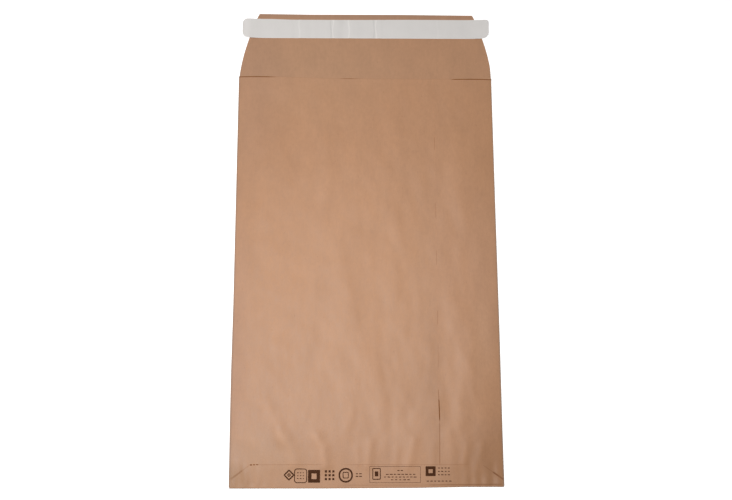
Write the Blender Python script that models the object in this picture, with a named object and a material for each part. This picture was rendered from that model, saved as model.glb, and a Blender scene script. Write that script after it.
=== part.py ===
"""A flat kraft paper mailing bag, seam side up and open, with its closing flap laid out flat.

One sheet of kraft paper is folded into a tube. The right front panel laps over the left one
and is glued to it along the length. The back panel runs on past the tube at both ends: at the
foot it folds up over the front and is glued down, and at the mouth it is the closing flap,
which carries an adhesive strip under a release liner.

The bag lies on its back panel. X runs across it, Y along it towards the flap, Z up. Lengths
along the bag are measured from the bottom fold, and sheets are laid out at mid thickness.
"""

import math

import bmesh
import bpy

# Sizes of the bag, in metres
BAG_WIDTH = 0.250
BAG_LENGTH = 0.400
SHEET = 0.00015

# Closing flap: round shoulders, a straight taper, and small corner cuts at its free edge
FLAP_LENGTH = 0.067
SHOULDER_RADIUS = 0.110
SHOULDER_ANGLE = math.radians(18)
CORNER_CUT = 0.003

# Bottom flap, a trapezoid folded up over the front
FOOT_FLAP_HEIGHT = 0.020
FOOT_FLAP_TOP_WIDTH = 0.214
FOOT_FLAP_SHOULDER = 0.008

# Lengthwise seam: where the outer panel's free edge lies, and how far the inner one runs under it
SEAM_EDGE_X = 0.067
SEAM_OVERLAP = 0.018

# Clear height inside the pocket, and how far from each fold the front panel takes to rise
FOLD_GAP = 0.0006
POCKET_DEPTH = 0.0070
MOUTH_DEPTH = 0.0060
SIDE_RISE = 0.070
FOOT_RISE = 0.060
MOUTH_RUN = 0.120

# Bends of the sheet, and the gap between the bottom fold and the tube's cut edge
SIDE_BEND = 0.00038
FOOT_BEND = 0.0008
TUBE_CLEARANCE = 0.0004

# Glue lines, adhesive and liner
SEAT_GAP = 0.0003
GLUE_FILM = 0.0001
SEAM_GLUE_MARGIN = 0.004
FOOT_GLUE_MARGIN = 0.004
FOOT_GLUE_WIDTH = 0.196
ADHESIVE_WIDTH = 0.0180
ADHESIVE_LENGTH = 0.216
LINER_WIDTH = 0.0206
LINER_LENGTH = 0.247
LINER_FILM = 0.0001
LINER_CORNER = 0.0055
LINER_EDGE_GAP = 0.0046

# Soft folds pressed into the front: both ends, half width and height, a valley being negative
SOFT_FOLDS = (
    ((-0.027, 0.213), (0.013, 0.075), 0.016, 0.0008),
    ((-0.004, 0.240), (0.028, 0.120), 0.016, -0.0006),
    ((0.086, 0.273), (0.101, 0.223), 0.014, 0.0005),
    ((0.092, 0.160), (0.090, 0.060), 0.014, 0.0006),
    ((-0.112, 0.093), (-0.075, 0.042), 0.014, 0.0006),
)

# How finely each stretch of the sheet is divided
LEFT_COLUMNS = 16
RIGHT_COLUMNS = 4
SEAM_COLUMNS = 3
BACK_COLUMNS = 20
BEND_STEPS = 4
TUBE_ROWS = 25
SHOULDER_ROWS = 5
FOOT_FLAP_ROWS = 4
STRIP_COLUMNS = 16
CORNER_STEPS = 6

OVERALL_LENGTH = BAG_LENGTH + FLAP_LENGTH
BACK_Z = SHEET / 2
LAP_LIFT = SHEET + 2 * SEAT_GAP + GLUE_FILM
PANEL_HALF = BAG_WIDTH / 2 - SHEET / 2 - SIDE_BEND
INNER_EDGE_X = SEAM_EDGE_X + SEAM_OVERLAP
FOOT_BEND_START = SHEET / 2 + FOOT_BEND
TUBE_START = FOOT_BEND_START + SHEET / 2 + TUBE_CLEARANCE


def clamp01(value):
    return min(max(value, 0.0), 1.0)


def crown(value):
    """Leaves 0 at a slope, as paper leaves a crease, and levels off at 1."""
    return math.sin(math.pi / 2 * clamp01(value))


def blend(value):
    """Goes from 0 to 1, level at both ends."""
    value = clamp01(value)
    return value * value * (3 - 2 * value)


def spread(first, last, steps):
    return [first + (last - first) * i / steps for i in range(steps + 1)]


def distance_to_segment(x, s, start, end):
    run_x = end[0] - start[0]
    run_s = end[1] - start[1]
    along = ((x - start[0]) * run_x + (s - start[1]) * run_s) / (run_x**2 + run_s**2)
    along = clamp01(along)
    return math.hypot(x - start[0] - along * run_x, s - start[1] - along * run_s)


def soft_folds(x, s):
    total = 0.0
    for start, end, half_width, height in SOFT_FOLDS:
        reach = distance_to_segment(x, s, start, end) / half_width
        total += height * math.exp(-(reach**2))
    return total


def front_z(x, s):
    """Mid thickness height of the front's lower layer, at a place across and along the bag."""
    side = crown((BAG_WIDTH / 2 - abs(x)) / SIDE_RISE)
    foot = crown(s / FOOT_RISE)
    to_mouth = blend((s - BAG_LENGTH + MOUTH_RUN) / MOUTH_RUN)
    depth = POCKET_DEPTH + (MOUTH_DEPTH - POCKET_DEPTH) * to_mouth
    rise = (depth - FOLD_GAP) + soft_folds(x, s)
    return BACK_Z + SHEET + FOLD_GAP + rise * side * foot


def outer_front_z(x, s):
    """The right panel: on top of the left one where they lap, and down to its own fold."""
    beyond = (x - INNER_EDGE_X) / (PANEL_HALF - INNER_EDGE_X)
    return front_z(x, s) + LAP_LIFT * (1 - blend(beyond))


def foot_flap_z(x, s):
    """The bottom flap lies on whichever front panel is on top, and steps up over the seam."""
    step = blend((x - SEAM_EDGE_X + SEAM_OVERLAP) / SEAM_OVERLAP)
    lower = front_z(x, s) + LAP_LIFT * step
    return max(lower, outer_front_z(x, s) if x > SEAM_EDGE_X else lower) + LAP_LIFT


def bend(side, low_z, high_z, steps):
    """A side fold from its upper panel down to the back, as points across and up."""
    middle = (low_z + high_z) / 2
    half = (high_z - low_z) / 2
    points = []
    for i in range(1, steps):
        angle = math.pi / 2 - math.pi * i / steps
        x = side * (PANEL_HALF + SIDE_BEND * math.cos(angle))
        points.append((x, middle + half * math.sin(angle)))
    return points


def back_columns():
    return spread(-PANEL_HALF, PANEL_HALF, BACK_COLUMNS)


def lap_columns():
    return spread(SEAM_EDGE_X, INNER_EDGE_X, SEAM_COLUMNS)


def tube_section(s):
    """The folded sheet cut across at s: inner seam edge, left fold, back, right fold, outer edge."""
    left = lap_columns()[::-1] + spread(SEAM_EDGE_X, -PANEL_HALF, LEFT_COLUMNS)[1:]
    right = spread(PANEL_HALF, INNER_EDGE_X, RIGHT_COLUMNS) + lap_columns()[::-1][1:]
    points = [(x, front_z(x, s)) for x in left]
    points += bend(-1, BACK_Z, front_z(-PANEL_HALF, s), BEND_STEPS)
    points += [(x, BACK_Z) for x in back_columns()]
    points += bend(1, BACK_Z, outer_front_z(PANEL_HALF, s), BEND_STEPS)[::-1]
    points += [(x, outer_front_z(x, s)) for x in right]
    return points


def flap_half_width(reach):
    """Half the closing flap's width at a distance past the mouth."""
    shoulder_end = SHOULDER_RADIUS * math.sin(SHOULDER_ANGLE)
    on_arc = min(reach, shoulder_end)
    narrowing = SHOULDER_RADIUS - math.sqrt(SHOULDER_RADIUS**2 - on_arc**2)
    narrowing += (reach - on_arc) * math.tan(SHOULDER_ANGLE)
    narrowing += max(reach - FLAP_LENGTH + CORNER_CUT, 0.0)
    return PANEL_HALF - narrowing


def flap_rows():
    shoulder_end = SHOULDER_RADIUS * math.sin(SHOULDER_ANGLE)
    rows = spread(0, shoulder_end, SHOULDER_ROWS)[1:]
    rows += [(shoulder_end + FLAP_LENGTH - CORNER_CUT) / 2]
    return rows + [FLAP_LENGTH - CORNER_CUT, FLAP_LENGTH]


def foot_flap_half_width(s):
    narrowing = (s - FOOT_FLAP_SHOULDER) / (FOOT_FLAP_HEIGHT - FOOT_FLAP_SHOULDER)
    return PANEL_HALF + (FOOT_FLAP_TOP_WIDTH / 2 - PANEL_HALF) * clamp01(narrowing)


def foot_flap_stations():
    return spread(FOOT_BEND_START, FOOT_FLAP_SHOULDER, 1) + spread(
        FOOT_FLAP_SHOULDER, FOOT_FLAP_HEIGHT, FOOT_FLAP_ROWS - 1
    )[1:]


def tube_rows():
    """Stations along the tube: those of the bottom flap that lies on it, then even steps."""
    under_flap = [TUBE_START] + foot_flap_stations()[1:]
    return under_flap + spread(FOOT_FLAP_HEIGHT, BAG_LENGTH, TUBE_ROWS)[1:]


def kraft_sheet():
    """The whole folded sheet at mid thickness, one open surface."""
    shape = bmesh.new()

    def row_of(points, s):
        return [shape.verts.new((x, s - OVERALL_LENGTH / 2, z)) for x, z in points]

    def skin(first, second):
        for i in range(len(first) - 1):
            shape.faces.new((first[i], first[i + 1], second[i + 1], second[i]))

    tube = [row_of(tube_section(s), s) for s in tube_rows()]
    for first, second in zip(tube, tube[1:]):
        skin(first, second)

    back_from = SEAM_COLUMNS + LEFT_COLUMNS + BEND_STEPS
    back = slice(back_from, back_from + BACK_COLUMNS + 1)

    flap = [tube[-1][back]]
    for reach in flap_rows():
        half = flap_half_width(reach)
        row = [(x * half / PANEL_HALF, BACK_Z) for x in back_columns()]
        flap.append(row_of(row, BAG_LENGTH + reach))
    for first, second in zip(flap, flap[1:]):
        skin(first, second)

    foot = [tube[0][back]]
    foot.append(row_of([(x, BACK_Z) for x in back_columns()], FOOT_BEND_START))
    for i in range(1, BEND_STEPS):
        angle = math.pi * i / BEND_STEPS
        row = []
        for x in back_columns():
            half_height = (foot_flap_z(x, FOOT_BEND_START) - BACK_Z) / 2
            row.append((x, BACK_Z + half_height * (1 - math.cos(angle))))
        foot.append(row_of(row, FOOT_BEND_START - FOOT_BEND * math.sin(angle)))
    for s in foot_flap_stations():
        columns = [x * foot_flap_half_width(s) / PANEL_HALF for x in back_columns()]
        foot.append(row_of([(x, foot_flap_z(x, s)) for x in columns], s))
    for first, second in zip(foot, foot[1:]):
        skin(second, first)

    bmesh.ops.recalc_face_normals(shape, faces=shape.faces)
    return shape


def film(columns, rows, height):
    """A thin strip at mid thickness that follows a height rule over a grid of places."""
    shape = bmesh.new()
    grid = []
    for s in rows:
        y = s - OVERALL_LENGTH / 2
        grid.append([shape.verts.new((x, y, height(x, s))) for x in columns])
    for first, second in zip(grid, grid[1:]):
        for i in range(len(columns) - 1):
            shape.faces.new((first[i], first[i + 1], second[i + 1], second[i]))
    return shape


def seam_glue():
    """Between the two front panels, inside their lap."""
    columns = spread(SEAM_EDGE_X + SEAM_GLUE_MARGIN, INNER_EDGE_X - SEAM_GLUE_MARGIN, 2)
    rows = tube_rows()[1:-1] + [BAG_LENGTH - SEAM_GLUE_MARGIN]
    return film(columns, rows, lambda x, s: front_z(x, s) + LAP_LIFT / 2)


def foot_glue():
    """Between the front and the bottom flap, hanging just under the flap."""
    columns = spread(-FOOT_GLUE_WIDTH / 2, FOOT_GLUE_WIDTH / 2, STRIP_COLUMNS)
    rows = spread(FOOT_GLUE_MARGIN, FOOT_FLAP_HEIGHT - FOOT_GLUE_MARGIN, 2)
    return film(columns, rows, lambda x, s: foot_flap_z(x, s) - LAP_LIFT / 2)


def liner_centre():
    """How far up the bag the middle of the liner lies."""
    return OVERALL_LENGTH - LINER_EDGE_GAP - LINER_WIDTH / 2


def adhesive():
    """On the flap's upper face, hidden under the liner."""
    columns = spread(-ADHESIVE_LENGTH / 2, ADHESIVE_LENGTH / 2, STRIP_COLUMNS)
    middle = liner_centre()
    rows = [middle - ADHESIVE_WIDTH / 2, middle + ADHESIVE_WIDTH / 2]
    return film(columns, rows, lambda x, s: SHEET + SEAT_GAP + GLUE_FILM / 2)


def liner():
    """A strip with round corners that covers the adhesive and sticks out past both of its ends."""
    shape = bmesh.new()
    z = SHEET + 2 * SEAT_GAP + GLUE_FILM + LINER_FILM / 2
    middle = liner_centre() - OVERALL_LENGTH / 2
    corner_x = LINER_LENGTH / 2 - LINER_CORNER
    corner_y = LINER_WIDTH / 2 - LINER_CORNER
    outline = []
    for quarter, (across, along) in enumerate(((1, 1), (-1, 1), (-1, -1), (1, -1))):
        for i in range(CORNER_STEPS + 1):
            angle = math.pi / 2 * (quarter + i / CORNER_STEPS)
            x = across * corner_x + LINER_CORNER * math.cos(angle)
            y = middle + along * corner_y + LINER_CORNER * math.sin(angle)
            outline.append(shape.verts.new((x, y, z)))
    shape.faces.new(outline)
    return shape


def material(name, color, roughness):
    made = bpy.data.materials.new(name)
    made.use_nodes = True
    shader = made.node_tree.nodes["Principled BSDF"]
    shader.inputs["Base Color"].default_value = (*color, 1)
    shader.inputs["Roughness"].default_value = roughness
    shader.inputs["Metallic"].default_value = 0
    made.diffuse_color = (*color, 1)
    return made


def add_part(name, shape, thickness, finish):
    """An object whose mid surface gets its thickness from a Solidify modifier."""
    mesh = bpy.data.meshes.new(name)
    shape.to_mesh(mesh)
    shape.free()
    mesh.materials.append(finish)
    mesh.shade_smooth()
    mesh.set_sharp_from_angle(angle=math.radians(40))
    part = bpy.data.objects.new(name, mesh)
    bpy.context.scene.collection.objects.link(part)
    wall = part.modifiers.new("paper thickness", "SOLIDIFY")
    wall.thickness = thickness
    wall.offset = 0
    wall.use_even_offset = True
    return part


def build():
    for old in list(bpy.data.objects):
        bpy.data.objects.remove(old)
    kraft = material("kraft paper", (0.44, 0.27, 0.16), 0.85)
    glue = material("dried glue", (0.72, 0.66, 0.55), 0.45)
    tacky = material("clear adhesive", (0.78, 0.74, 0.66), 0.25)
    white = material("release paper", (0.68, 0.66, 0.63), 0.4)
    add_part("bag", kraft_sheet(), SHEET, kraft)
    add_part("side_seam_glue", seam_glue(), GLUE_FILM, glue)
    add_part("bottom_flap_glue", foot_glue(), GLUE_FILM, glue)
    add_part("flap_adhesive", adhesive(), GLUE_FILM, tacky)
    add_part("release_liner", liner(), LINER_FILM, white)


build()
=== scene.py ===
import math

import bmesh
import bpy
import numpy as np
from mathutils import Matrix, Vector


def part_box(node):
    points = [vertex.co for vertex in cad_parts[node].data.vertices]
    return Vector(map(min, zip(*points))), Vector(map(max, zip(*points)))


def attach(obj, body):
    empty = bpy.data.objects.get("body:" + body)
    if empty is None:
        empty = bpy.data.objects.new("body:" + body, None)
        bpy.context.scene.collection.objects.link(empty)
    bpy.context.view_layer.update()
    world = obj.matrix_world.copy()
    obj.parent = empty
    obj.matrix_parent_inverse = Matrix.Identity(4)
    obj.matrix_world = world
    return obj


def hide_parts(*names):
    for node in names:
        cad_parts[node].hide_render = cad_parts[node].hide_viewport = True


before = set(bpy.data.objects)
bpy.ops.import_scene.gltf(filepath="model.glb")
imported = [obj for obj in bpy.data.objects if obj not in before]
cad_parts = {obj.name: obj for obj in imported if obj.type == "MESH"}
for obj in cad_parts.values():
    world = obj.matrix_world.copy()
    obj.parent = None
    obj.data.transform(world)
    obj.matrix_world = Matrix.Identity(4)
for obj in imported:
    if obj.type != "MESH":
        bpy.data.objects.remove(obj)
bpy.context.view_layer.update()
print("frame loaded")


class Wire:  # one node socket that takes part in plain arithmetic
    def __init__(self, tree, socket=None):
        self.tree = tree
        self.socket = socket

    def add(self, kind, settings=None, sockets=None, out=0):
        node = self.tree.nodes.new(kind)
        for name, value in (settings or {}).items():
            setattr(node, name, value)
        for key, value in (sockets or {}).items():
            if isinstance(value, Wire):
                self.tree.links.new(value.socket, node.inputs[key])
            else:
                node.inputs[key].default_value = value
        return Wire(self.tree, node.outputs[out])

    def other(self, out):  # another output of the same node
        return Wire(self.tree, self.socket.node.outputs[out])

    def maths(self, operation, *values):
        return self.add("ShaderNodeMath", {"operation": operation}, dict(enumerate(values)))

    def __add__(self, value):
        return self.maths("ADD", self, value)

    def __radd__(self, value):
        return self.maths("ADD", value, self)

    def __sub__(self, value):
        return self.maths("SUBTRACT", self, value)

    def __rsub__(self, value):
        return self.maths("SUBTRACT", value, self)

    def __mul__(self, value):
        return self.maths("MULTIPLY", self, value)

    def __rmul__(self, value):
        return self.maths("MULTIPLY", value, self)

    def __truediv__(self, value):
        return self.maths("DIVIDE", self, value)

    def __rtruediv__(self, value):
        return self.maths("DIVIDE", value, self)

    def __pow__(self, value):
        return self.maths("POWER", self, value)

    def clamp(self):
        return self.maths("MINIMUM", self.maths("MAXIMUM", self, 0.0), 1.0)

    def between(self, low, high):  # 0 below low, 1 above high, smooth in the middle
        settings = {"interpolation_type": "SMOOTHSTEP"}
        return self.add("ShaderNodeMapRange", settings, {0: self, 1: low, 2: high})

    def blendColor(self, first, second):  # self is the share of the second colour
        return self.add("ShaderNodeMix", {"data_type": "RGBA"}, {0: self, 6: first, 7: second}, 2)

    def multiplyColor(self, color, share, factor):
        settings = {"data_type": "RGBA", "blend_type": "MULTIPLY"}
        return self.add("ShaderNodeMix", settings, {0: share, 6: color, 7: factor}, 2)

    def tint(self, color):  # self is how bright the colour becomes
        grey = self.add("ShaderNodeCombineColor", None, {0: self, 1: self, 2: self})
        return self.multiplyColor(color, 1.0, grey)

    def toned(self, color, change):  # self is the share of a change of colour
        return self.multiplyColor(color, self, (*change, 1.0))


def addObject(name, data):
    made = bpy.data.objects.new(name, data)
    bpy.context.scene.collection.objects.link(made)
    return made


def newMaterial(name):
    made = bpy.data.materials.new(name)
    made.use_nodes = True
    made.node_tree.nodes.clear()
    return made, Wire(made.node_tree)


def finishMaterial(wire, surface):
    output = wire.tree.nodes.new("ShaderNodeOutputMaterial")
    wire.tree.links.new(surface.socket, output.inputs["Surface"])


def finishPaint(wire, sockets):
    finishMaterial(wire, wire.add("ShaderNodeBsdfPrincipled", None, sockets))


def objectPlace(wire):
    return wire.add("ShaderNodeTexCoord").other("Object")


def storedValue(wire, name):
    return wire.add("ShaderNodeAttribute", {"attribute_name": name}).other("Fac")


def stretchedNoise(wire, place, stretch, scale, detail=3.0, roughness=0.5):
    moved = wire.add("ShaderNodeVectorMath", {"operation": "MULTIPLY"}, {0: place, 1: stretch})
    sockets = {"Vector": moved, "Scale": scale, "Detail": detail, "Roughness": roughness}
    return wire.add("ShaderNodeTexNoise", None, sockets)


def addNoises(wire, place, noises):
    return {name: stretchedNoise(wire, place, *values) for name, values in noises.items()}


def varied(level, noises, depths):  # a level that each noise raises and lowers by half its depth
    for name, depth in depths.items():
        level = level + (noises[name] - 0.5) * depth
    return level


def bumped(wire, noises, look):
    sockets = {"Strength": look["bumpStrength"], "Distance": look["bumpHeight"]}
    sockets["Height"] = varied(0.0, noises, look["bumps"])
    return wire.add("ShaderNodeBump", None, sockets)


def blotchedMaterial(name, look):
    material, wire = newMaterial(name)
    noises = addNoises(wire, objectPlace(wire), {"blotches": ((1.0, 1.0, 1.0), look["blotchScale"])})
    shade = varied(look["shade"], noises, {"blotches": look["shadeDepth"]})
    rough = varied(look["roughness"], noises, {"blotches": look["roughDepth"]})
    finishPaint(wire, {"Base Color": shade.tint(look["color"]), "Roughness": rough})
    return material


# Camera, where the picture was taken from: above the foot of the bag and a little to its left

cameraPlace = {
    "location": (-0.0316, -0.3290, 1.1837),
    "tilt": (15.09, -1.48, -0.16),  # degrees about X, Y and Z
    "lens": 63.3,
    "sensor": 36.0,
    "nearest": 0.01,
}


def addCamera():
    data = bpy.data.cameras.new("pictureCamera")
    data.lens = cameraPlace["lens"]
    data.sensor_width = cameraPlace["sensor"]
    data.clip_start = cameraPlace["nearest"]
    camera = addObject("pictureCamera", data)
    camera.location = cameraPlace["location"]
    camera.rotation_euler = [math.radians(angle) for angle in cameraPlace["tilt"]]
    bpy.context.scene.camera = camera


addCamera()

# Light: one soft window overhead and to the left, and a dim room

studio = {
    "windowPlace": (-0.20, -0.05, 0.90),
    "windowSize": 0.5,
    "windowPower": 9.1,
    "roomStrength": 0.06,
    "floorColor": (0.86, 0.86, 0.86, 1.0),
    "floorLift": 0.5,  # added to the floor where it is looked at, and not to its light on the bag
    "floorReach": 3.0,
    "floorDepth": 0.0002,
}


def addWindow():  # a lamp that faces the middle of the bag
    data = bpy.data.lights.new("window", "AREA")
    data.shape = "SQUARE"
    data.size = studio["windowSize"]
    data.energy = studio["windowPower"]
    lamp = addObject("window", data)
    lamp.location = studio["windowPlace"]
    x, y, z = studio["windowPlace"]
    lamp.rotation_euler = (math.atan2(math.hypot(x, y), z), 0.0, math.atan2(x, -y))
    lamp.visible_camera = False


def paleRays(wire):  # 1 for the rays that should meet a pale background
    path = wire.add("ShaderNodeLightPath")
    return (path + path.other("Is Glossy Ray") + path.other("Is Transmission Ray")).clamp()


def addRoom():
    world = bpy.data.worlds.new("dimRoom")
    world.use_nodes = True
    world.node_tree.nodes.clear()
    wire = Wire(world.node_tree)
    strength = studio["roomStrength"] + paleRays(wire) * (1.0 - studio["roomStrength"])
    light = wire.add("ShaderNodeBackground", None, {0: (1.0, 1.0, 1.0, 1.0), 1: strength})
    output = world.node_tree.nodes.new("ShaderNodeOutputWorld")
    world.node_tree.links.new(light.socket, output.inputs["Surface"])
    bpy.context.scene.world = world


def addFloor():
    mesh = bpy.data.meshes.new("paleFloor")
    shape = bmesh.new()
    bmesh.ops.create_grid(shape, x_segments=1, y_segments=1, size=studio["floorReach"])
    bmesh.ops.translate(shape, verts=shape.verts, vec=(0.0, 0.0, -studio["floorDepth"]))
    shape.to_mesh(mesh)
    shape.free()
    floor = addObject("paleFloor", mesh)
    material, wire = newMaterial("paleFloor")
    matt = wire.add("ShaderNodeBsdfDiffuse", None, {"Color": studio["floorColor"]})
    glow = wire.add("ShaderNodeEmission", None, {1: paleRays(wire) * studio["floorLift"]})
    finishMaterial(wire, wire.add("ShaderNodeAddShader", None, {0: matt, 1: glow}))
    mesh.materials.append(material)


addWindow()
addRoom()
addFloor()
bpy.context.scene.view_settings.view_transform = "Standard"
print("camera, light and floor placed")

# The folded kraft sheet. Places along the bag are counted from the bottom fold, in metres

sheet = {
    "thickness": 0.00015,
    "flapLength": 0.067,
    "shoulderLean": math.radians(4.6),  # the flap's sides leave the folds at this angle
    "shoulderRadius": 0.188,
    "shoulderAngle": math.radians(19.6),
    "cornerCut": 0.0036,  # how far down the side the top corners are cut
    "cornerSlope": 0.24,
    "footHeight": 0.020,
    "footTopWidth": 0.214,
    "footShoulder": 0.008,
    "seamEdge": 0.067,
    "seamOverlap": 0.018,
    "foldGap": 0.0006,  # between back and front at the side folds
    "pocketDepth": 0.0050,
    "mouthDepth": 0.0028,
    "sideRise": 0.055,  # in from each side fold, the front reaches its full height
    "footRise": 0.060,
    "mouthRun": 0.110,  # over this run it sinks to its height at the mouth
    "mouthSkew": 0.0022,  # the front's edge dips this far in the middle
    "mouthDip": (-0.125, -0.025),
    "mouthReturn": 0.0010,  # and comes back this far at the right fold
    "mouthBack": (0.075, 0.120),
    "mouthCutFrom": 0.30,  # the rows of points follow the edge from here up
    "sideBend": 0.00038,
    "footBend": 0.0006,
    "footClear": 0.0004,  # the front starts this far inside the bottom fold
    "lapGap": 0.00010,  # between two glued layers
    "seamLift": 0.00030,  # where the seam's edge has come away a little
    "seamLiftFrom": 0.058,
    "seamLiftTo": 0.089,
    "seamLiftRun": 0.005,
    "lapStep": 0.006,  # over this run the bottom flap steps up on the seam
    "creaseSide": 0.016,  # creases fade over these runs beside the folds
    "creaseFoot": 0.012,
    "crestShift": 0.35,  # the paler band is shifted onto a crease's lit flank, as shares of its half width
    "crestWidth": 0.5,
    "crestFade": (0.050, 0.110),  # further up the creases aren't made paler
}

# Where the sheet is loose enough to cockle, and where the bottom flap puckers it
slack = {
    "side": 0.030,  # tight at a side fold, loose this far in
    "foot": (0.010, 0.060),
    "calm": (0.070, 0.230),  # further up it lies calmer
    "calmLoss": 0.40,
    "mouth": 0.020,  # and tighter over this run below the mouth
    "mouthLoss": 0.5,
    "back": 0.030,  # the back is tight at the bottom fold and on the flap
    "backShare": 0.4,
    "puckerSide": (0.074, 0.104),  # it puckers beside its two corners
    "puckerEdge": 0.004,
    "puckerEnd": (0.014, 0.032),
}

fineness = {  # how finely the pieces are divided
    "backColumns": 118,
    "frontCell": 0.0023,
    "evenFrom": 0.002,  # next to the bottom fold the rows lie closer
    "footCell": 0.0018,
    "lowerCell": 0.0021,
    "upperCell": 0.0031,
    "lowerEnd": 0.072,
    "bendSteps": 6,
    "footTurns": 8,
    "shoulderRows": 14,
    "flapRows": 12,
    "seamGlueColumns": 4,
    "footGlueColumns": 84,
    "footGlueRows": 5,
    "adhesiveColumns": 20,
    "adhesiveRows": 2,
    "linerRows": 18,
    "linerColumns": 190,
    "sharpAngle": math.radians(50),  # edges sharper than this aren't shaded smooth
}

# Creases and puckers of the front: points across and up from the foot, half width, height, in mm
creases = [
    ([(-24, 205), (-19, 170), (-9, 140), (0, 112), (9, 88), (14, 72)], 11, 0.46),
    ([(24, 205), (23, 180), (29, 150)], 9, 0.22),
    ([(-27, 112), (-20, 86), (-14, 66)], 8, 0.30),
    ([(74, 175), (88, 146), (92, 118), (89, 88), (85, 58)], 9, 0.33),
    ([(84, 306), (91, 270), (99, 240), (108, 214)], 8, 0.27),
    ([(78, 264), (87, 240)], 5, -0.12),
    ([(-44, 374), (-42, 330), (-37, 288), (-42, 240)], 7, 0.24),
    ([(23, 264), (30, 240), (36, 212)], 7, 0.24),
    ([(46, 330), (50, 300), (54, 268)], 6, 0.16),
    ([(-60, 300), (-66, 262)], 9, 0.20),
    ([(-123, 162), (-104, 148)], 8, 0.28),
    ([(-123, 126), (-107, 117), (-88, 101)], 8, 0.42),
    ([(-123, 91), (-106, 84), (-91, 73), (-83, 58), (-77, 45)], 8, 0.50),
    ([(-123, 48), (-105, 43), (-93, 33), (-86, 20)], 7, 0.36),
    ([(-78, 47), (-69, 36), (-66, 22)], 8, 0.85),
    ([(-47, 46), (-40, 36), (-38, 20)], 6, 0.90),
    ([(-18, 58), (-20, 44)], 5, 0.22),
    ([(-9, 36), (-7, 22)], 3, 0.34),
    ([(3, 40), (1, 20)], 4.5, 0.58),
    ([(9, 70), (13, 56)], 6, 0.24),
    ([(28, 36), (26, 20)], 3, 0.30),
    ([(43, 43), (41, 32), (38, 20)], 5, 0.56),
    ([(46, 66), (48, 54)], 5, 0.20),
    ([(61, 38), (60, 20)], 3.5, 0.26),
    ([(77, 46), (78, 20)], 6, 0.26),
    ([(92, 38), (88, 22)], 3.2, 0.42),
    ([(105, 38), (103, 16)], 3.8, 0.44),
    ([(101, 132), (108, 96), (113, 64)], 7, 0.16),
    ([(121, 62), (119, 34), (121, 6)], 12, -0.35),
    ([(-120, 30), (-122, 4)], 9, -0.25),
]

# How far the real folds and cuts wander from straight ones: places and shifts, in mm
stray = {
    "leftFold": [(0, -0.1), (66, -0.5), (110, -0.5), (170, 0.0), (400, 0.1), (435, 0.9)],
    "rightFold": [(0, 0.2), (45, 0.0), (150, 0.0), (260, -0.4), (396, -0.7), (413, 0.35)],
    "foot": [(-40, -0.45), (45, 0.0), (90, 0.85)],
    "flapTop": [(-100, 0.7), (-55, 0.4), (35, 1.0), (100, 0.8)],
    "linerTop": [(-95, 0.2), (-74, -0.5), (-14, -0.5), (40, 0.0)],
}
# Spans in metres over which a shift grows beside the folds and at the flap's top, or fades at the foot
strayReach = {"side": (0.070, 0.105), "foot": (0.0, 0.050), "flapTop": (0.4625, 0.467)}

cadLow, cadHigh = [np.array(corner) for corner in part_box("bag")]
bagWidth = float(cadHigh[0] - cadLow[0])
overallLength = float(cadHigh[1] - cadLow[1])
bagLength = overallLength - sheet["flapLength"]
backHeight = sheet["thickness"] / 2
lapLift = sheet["thickness"] + sheet["lapGap"]
panelHalf = bagWidth / 2 - sheet["thickness"] / 2 - sheet["sideBend"]
innerEdge = sheet["seamEdge"] + sheet["seamOverlap"]
footStart = sheet["thickness"] / 2 + sheet["footBend"]
tubeStart = footStart + sheet["footClear"]


def crown(value):  # leaves 0 at a slope, as paper leaves a crease, and levels off at 1
    return np.sin(0.5 * math.pi * np.clip(value, 0.0, 1.0))


def ease(value):  # from 0 to 1, level at both ends
    value = np.clip(value, 0.0, 1.0)
    return value * value * (3.0 - 2.0 * value)


def rising(value, first, last):  # 0 before first, 1 after last, smooth in the middle
    return ease((value - first) / (last - first))


def spread(first, last, steps):
    return np.linspace(first, last, steps + 1)


def spreadBy(first, last, cell):
    return spread(first, last, max(1, round(abs(last - first) / cell)))


def lineDistance(x, s, points):
    nearest = np.full(np.broadcast(x, s).shape, np.inf)
    for (startX, startS), (endX, endS) in zip(points, points[1:]):
        runX, runS = endX - startX, endS - startS
        along = ((x - startX) * runX + (s - startS) * runS) / (runX**2 + runS**2)
        along = np.clip(along, 0.0, 1.0)
        away = np.hypot(x - startX - along * runX, s - startS - along * runS)
        nearest = np.minimum(nearest, away)
    return nearest


def creaseRelief(x, s):
    total = np.zeros(np.broadcast(x, s).shape)
    for points, halfWidth, height in creases:
        away = lineDistance(x * 1000, s * 1000, points)
        total = total + 0.001 * height * np.exp(-((away / halfWidth) ** 2))
    fromEdge = bagWidth / 2 - np.abs(x)
    return total * ease(fromEdge / sheet["creaseSide"]) * ease(s / sheet["creaseFoot"])


def rubbedAndLitCrests(x, s):  # paler along a crease: rubbing, and painted highlight on its lit left flank
    total = np.zeros(np.broadcast(x, s).shape)
    for points, halfWidth, height in creases:
        away = lineDistance(x * 1000 + halfWidth * sheet["crestShift"], s * 1000, points)
        total = total + max(height, 0.0) * np.exp(-((away / (halfWidth * sheet["crestWidth"])) ** 2))
    return total * (1.0 - rising(s, *sheet["crestFade"]))


def frontHeight(x, s):
    inward = np.clip((bagWidth / 2 - np.abs(x)) / sheet["sideRise"], 0.0, 1.0)
    side = 1.0 - (1.0 - inward) ** 3  # steep beside the fold, then level
    foot = crown(s / sheet["footRise"])
    toMouth = rising(s, bagLength - sheet["mouthRun"], bagLength)
    depth = sheet["pocketDepth"] + (sheet["mouthDepth"] - sheet["pocketDepth"]) * toMouth
    rise = (depth - sheet["foldGap"]) * side * foot + creaseRelief(x, s)
    return backHeight + sheet["thickness"] + sheet["foldGap"] + rise


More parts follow.
